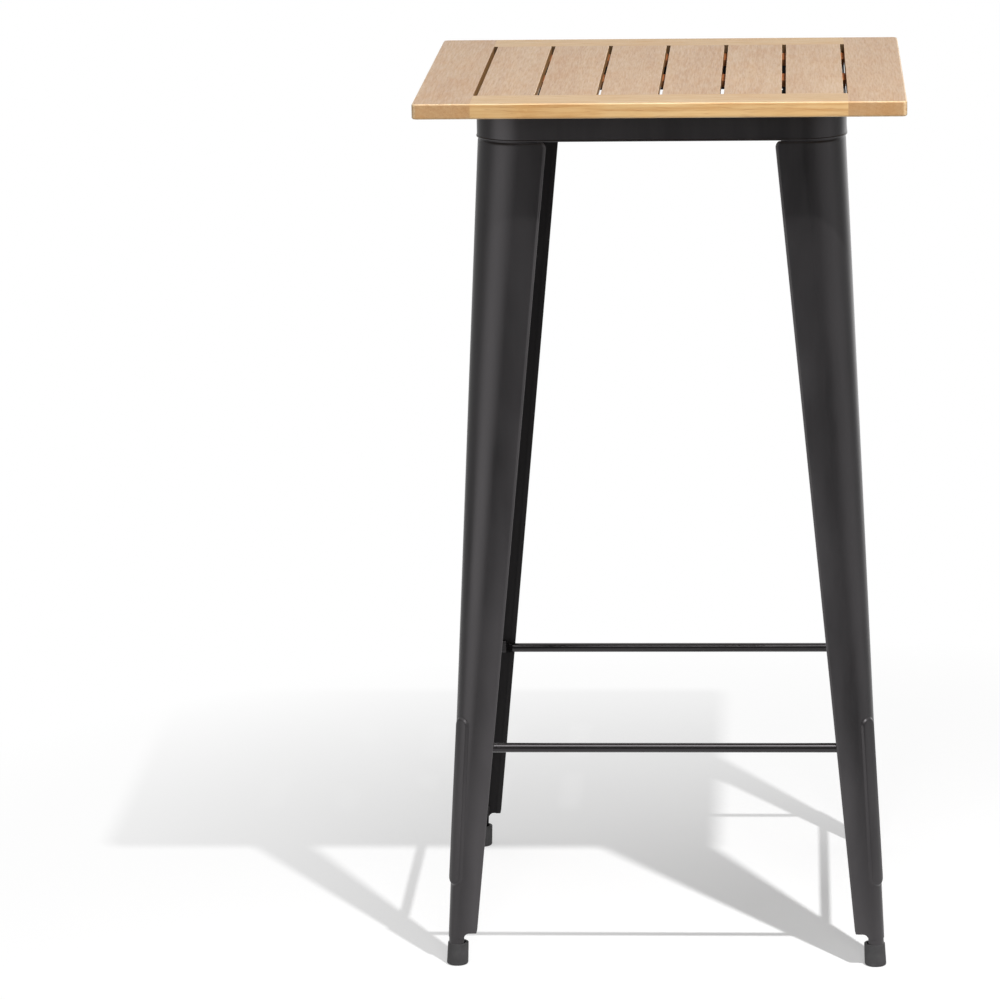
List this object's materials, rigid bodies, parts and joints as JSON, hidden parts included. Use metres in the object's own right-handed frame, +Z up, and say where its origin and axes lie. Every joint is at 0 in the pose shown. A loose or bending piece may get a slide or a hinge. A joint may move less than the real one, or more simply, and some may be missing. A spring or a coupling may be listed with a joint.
{
  "type": "bar table",
  "caption": "Tall square bar table with a slatted hardwood top on splayed pressed-steel legs joined by an apron and round foot rails.",
  "frame": {"origin": "middle of the footprint, on the floor", "axes": "+Z up, -Y towards the front (the side the picture is taken from), +X to the right as seen from the front"},
  "size_m": [0.6, 0.6, 1.1],
  "materials": {
    "hardwood": "oiled satin, grain along each board",
    "hardwood_batten": "oiled, darker underside boards",
    "black_steel": "satin-matte black powder coat",
    "black_rod": "semi-gloss black powder coat",
    "zinc_steel": "bright zinc plate",
    "black_rubber": "matte moulded rubber"
  },
  "bodies": {
    "root": {"stile_left": "hardwood", "stile_right": "hardwood", "rail_front": "hardwood", "rail_back": "hardwood", "slat_1": "hardwood", "slat_2": "hardwood", "slat_3": "hardwood", "slat_4": "hardwood", "slat_5": "hardwood", "slat_6": "hardwood", "batten_front": "hardwood_batten", "batten_middle": "hardwood_batten", "batten_back": "hardwood_batten", "apron": "black_steel", "leg_front_left": "black_steel", "leg_front_right": "black_steel", "leg_back_left": "black_steel", "leg_back_right": "black_steel", "foot_rail_front": "black_rod", "foot_rail_back": "black_rod", "foot_rail_left": "black_rod", "foot_rail_right": "black_rod", "slat_screws": "zinc_steel", "top_screws": "zinc_steel", "leg_studs": "zinc_steel", "leg_nuts": "zinc_steel", "foot_cap_front_left": "black_rubber", "foot_cap_front_right": "black_rubber", "foot_cap_back_left": "black_rubber", "foot_cap_back_right": "black_rubber"}
  },
  "joints": []
}
